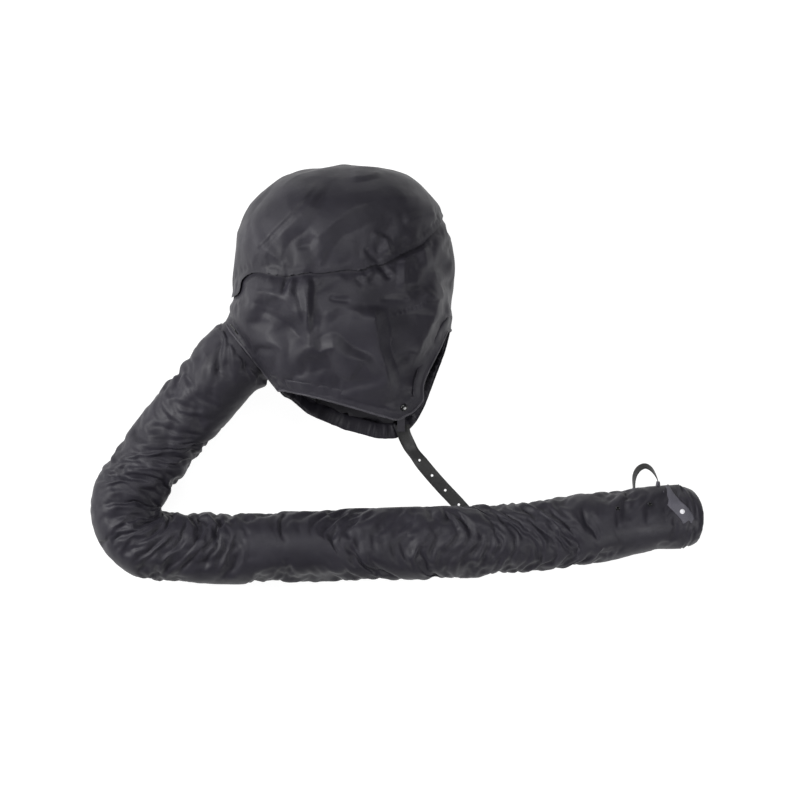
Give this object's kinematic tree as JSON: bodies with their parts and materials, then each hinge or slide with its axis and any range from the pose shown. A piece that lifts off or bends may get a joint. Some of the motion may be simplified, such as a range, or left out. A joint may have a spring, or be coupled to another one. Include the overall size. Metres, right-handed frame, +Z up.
{
  "type": "soft bonnet hair dryer hood",
  "caption": "Gathered fabric hair-drying hood lying on its side, with a chin strap and a fabric-covered spiral hose whose mouth slips over a hand-held dryer.",
  "frame": {"origin": "on the flat patch of the far cheek panel where the hood rests on the table", "axes": "+X the way the wearer would face, +Y from chin to crown, +Z up from the table through the near side of the hood"},
  "size_m": [0.7207, 0.4911, 0.2022],
  "materials": {
    "nylon": "soft gloss taffeta, slightly violet charcoal",
    "lining": "matt perforated lining",
    "webbing": "folded and stitched tape",
    "rubber": "matt elastic strap",
    "spring_steel": "drawn wire",
    "black_plastic": "gloss",
    "white_plastic": "gloss"
  },
  "bodies": {
    "hood": {"crown_panel_near": "nylon", "cheek_panel_near": "nylon", "crown_panel_far": "nylon", "cheek_panel_far": "nylon", "forehead_panel": "nylon", "nape_panel": "nylon", "edge_binding": "nylon", "hem_casing": "nylon", "hem_elastic": "rubber", "air_lining": "lining", "inlet_hoop": "black_plastic", "root_sleeve": "nylon", "chin_button": "black_plastic", "button_backing": "black_plastic", "strap_anchor": "webbing"},
    "chin_strap": {"chin_strap": "rubber"},
    "hose_upper": {"upper_sleeve": "nylon", "upper_spiral": "spring_steel", "elbow_sleeve": "nylon", "elbow_spiral": "spring_steel"},
    "hose_lower": {"lower_sleeve_rear": "nylon", "lower_sleeve_middle": "nylon", "lower_sleeve_front": "nylon", "lower_spiral": "spring_steel", "neck_sleeve": "nylon", "eyelet_front": "black_plastic", "eyelet_rear": "black_plastic", "loop_tab_rear": "webbing", "loop_tab_front": "webbing"},
    "mouth": {"mouth_cuff": "nylon", "mouth_ring": "rubber", "rim_elastic": "rubber", "cuff_band": "webbing", "snap_cap": "white_plastic", "snap_washer": "spring_steel"},
    "pull_loop": {"pull_loop": "rubber"}
  },
  "joints": [
    {"name": "hose_root_flex", "type": "hinge", "parent": "hood", "child": "hose_upper", "pos_m": [-0.1262, -0.0689, 0.078], "axis": [0, 0, 1], "range_deg": [-20, 5], "deforming": ["root_sleeve"]},
    {"name": "hose_elbow_flex", "type": "hinge", "parent": "hose_upper", "child": "hose_lower", "pos_m": [-0.252, -0.243, 0.0435], "axis": [0, 0, 1], "range_deg": [-50, 6], "deforming": ["elbow_sleeve", "elbow_spiral"]},
    {"name": "mouth_flex", "type": "hinge", "parent": "hose_lower", "child": "mouth", "pos_m": [0.3776, -0.2558, 0.0388], "axis": [0, 0, 1], "range_deg": [-12, 12], "deforming": ["neck_sleeve"]},
    {"name": "strap_swing", "type": "hinge", "parent": "hood", "child": "chin_strap", "pos_m": [0.068, -0.147, 0.0145], "axis": [0, 0, 1], "range_deg": [-10, 12]},
    {"name": "loop_fold", "type": "hinge", "parent": "hose_lower", "child": "pull_loop", "pos_m": [0.355, -0.2131, 0.0389], "axis": [1, 0, 0], "range_deg": [-28, 28]}
  ]
}
